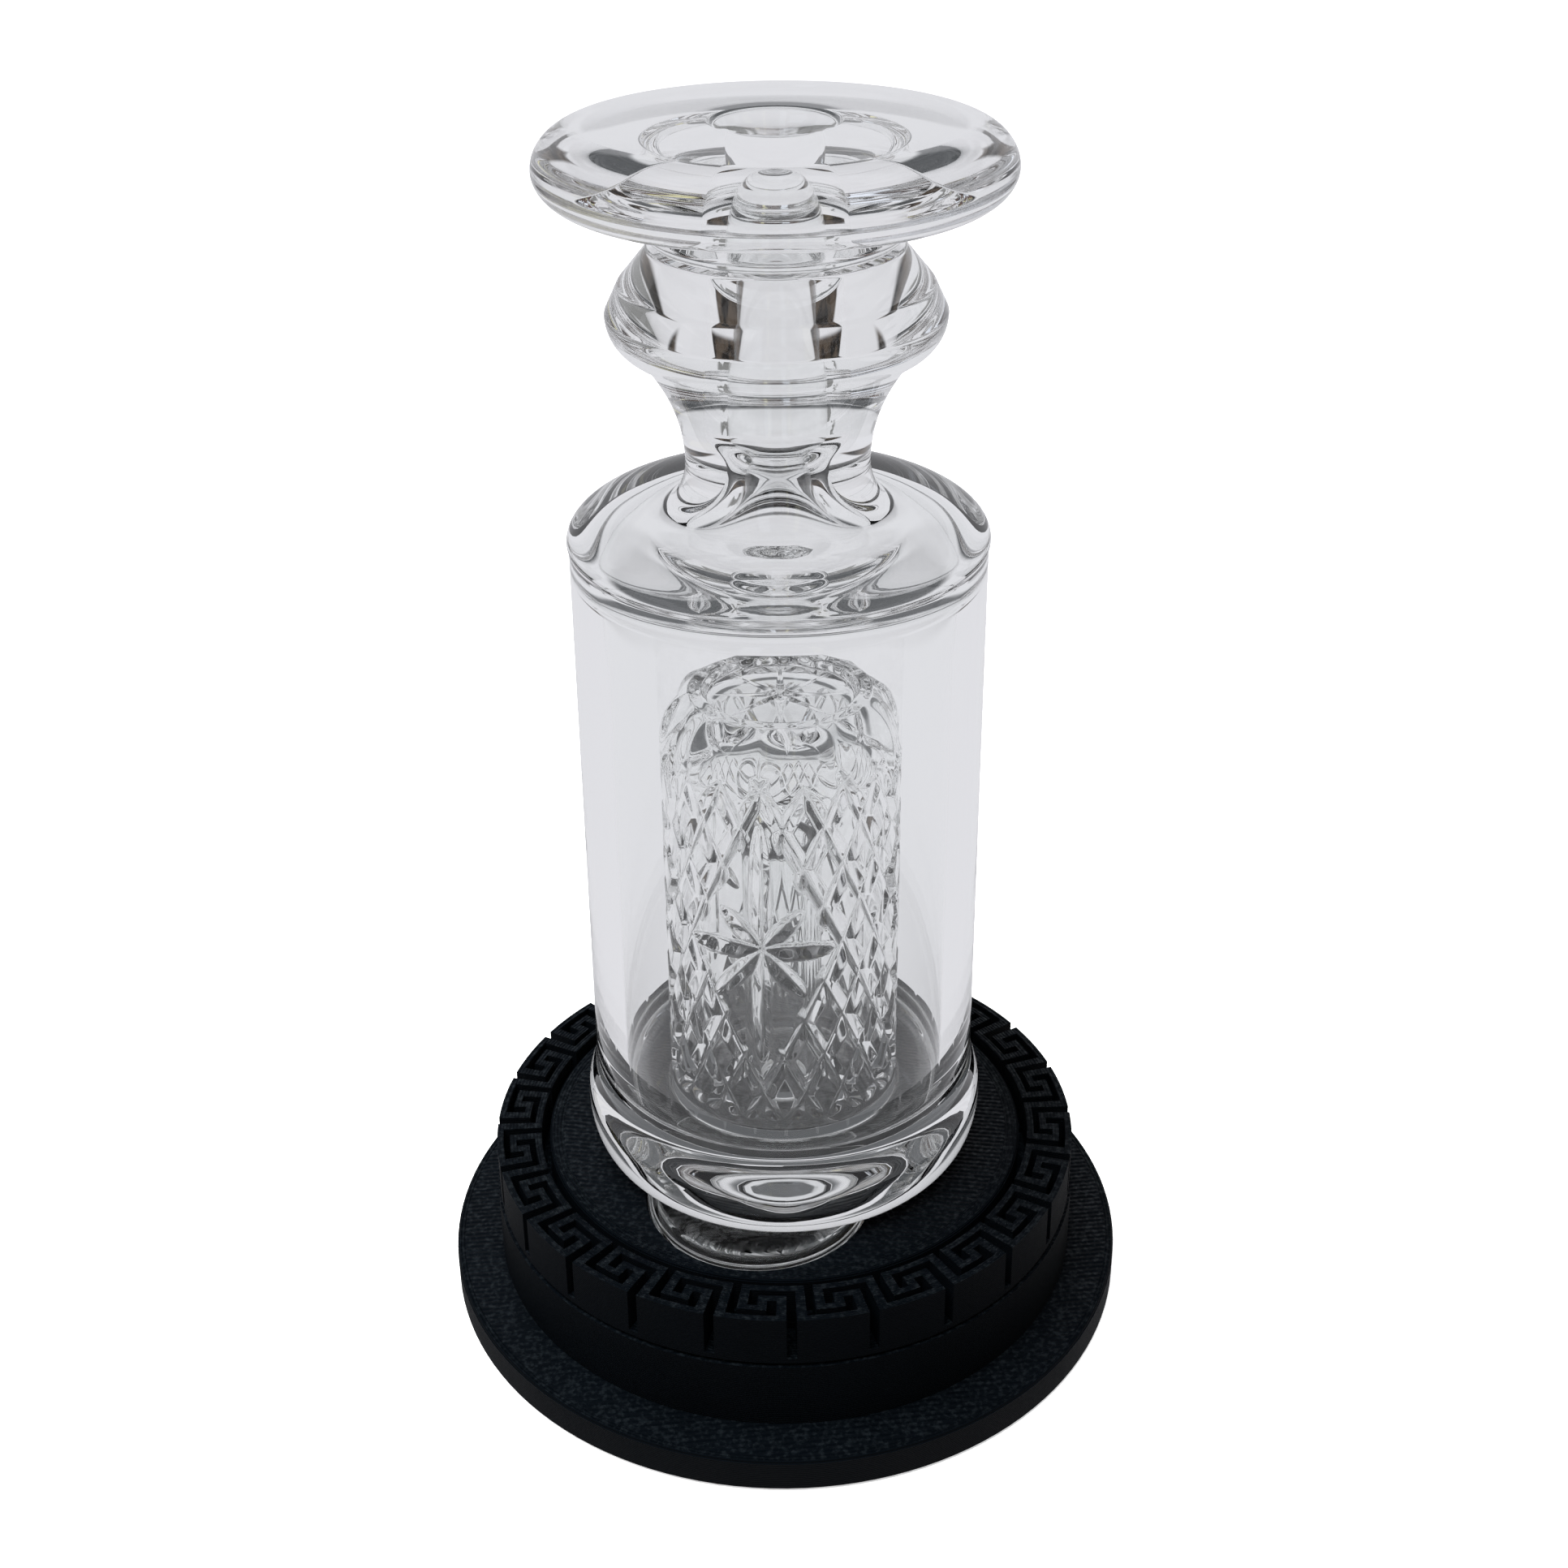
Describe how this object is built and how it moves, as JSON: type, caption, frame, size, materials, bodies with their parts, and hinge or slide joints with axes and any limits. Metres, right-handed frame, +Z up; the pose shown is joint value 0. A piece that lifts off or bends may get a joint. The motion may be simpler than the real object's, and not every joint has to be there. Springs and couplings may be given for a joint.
{
  "type": "display stand with glass filter",
  "caption": "Clear thick-walled glass water filter with a disc mouthpiece and a cut-glass dome inside, standing on a round black turning display stand with a Greek-key ring.",
  "frame": {"origin": "on the table, under the middle of the round stand", "axes": "+Z up along the turning axis; -Y is the front, where the offset foot of the glass shows"},
  "size_m": [0.1, 0.1, 0.1713],
  "materials": {
    "clear_glass": "polished",
    "cut_glass": "polished",
    "printed_base": "satin",
    "printed_top": "satin",
    "rubber": "matte",
    "zinc_steel": "satin",
    "bearing_steel": "polished",
    "cage_steel": "satin"
  },
  "bodies": {
    "base": {"base_shell": "printed_base", "base_cover": "printed_base", "cover_screws": "zinc_steel", "rubber_feet": "rubber", "bearing_outer_race": "bearing_steel"},
    "turntable": {"turntable_deck": "printed_top", "key_ring": "printed_top", "deck_screws": "zinc_steel", "bearing_inner_race": "bearing_steel", "hub_washer": "zinc_steel", "hub_screw": "zinc_steel"},
    "bearing_set": {"bearing_cage": "cage_steel", "bearing_balls": "bearing_steel"},
    "glass": {"mouthpiece_disc": "clear_glass", "mouthpiece_stem": "clear_glass", "collar_ring": "clear_glass", "neck": "clear_glass", "can_lid": "clear_glass", "can_tube": "clear_glass", "can_floor": "clear_glass", "joint_foot": "clear_glass", "cut_glass_dome": "cut_glass", "uptake_tube": "clear_glass"}
  },
  "joints": [
    {"name": "turntable_spin", "type": "hinge", "parent": "base", "child": "turntable", "pos_m": [0, 0, 0.015], "axis": [0, 0, 1], "continuous": true},
    {"name": "cage_spin", "type": "hinge", "parent": "base", "child": "bearing_set", "pos_m": [0, 0, 0.015], "axis": [0, 0, 1], "continuous": true},
    {"name": "glass_lift", "type": "slide", "parent": "turntable", "child": "glass", "axis": [0, 0, 1], "range_m": [0, 0.03]}
  ],
  "couplings": [
    {"joint": "cage_spin", "follows": "turntable_spin", "ratio": 0.3677}
  ]
}
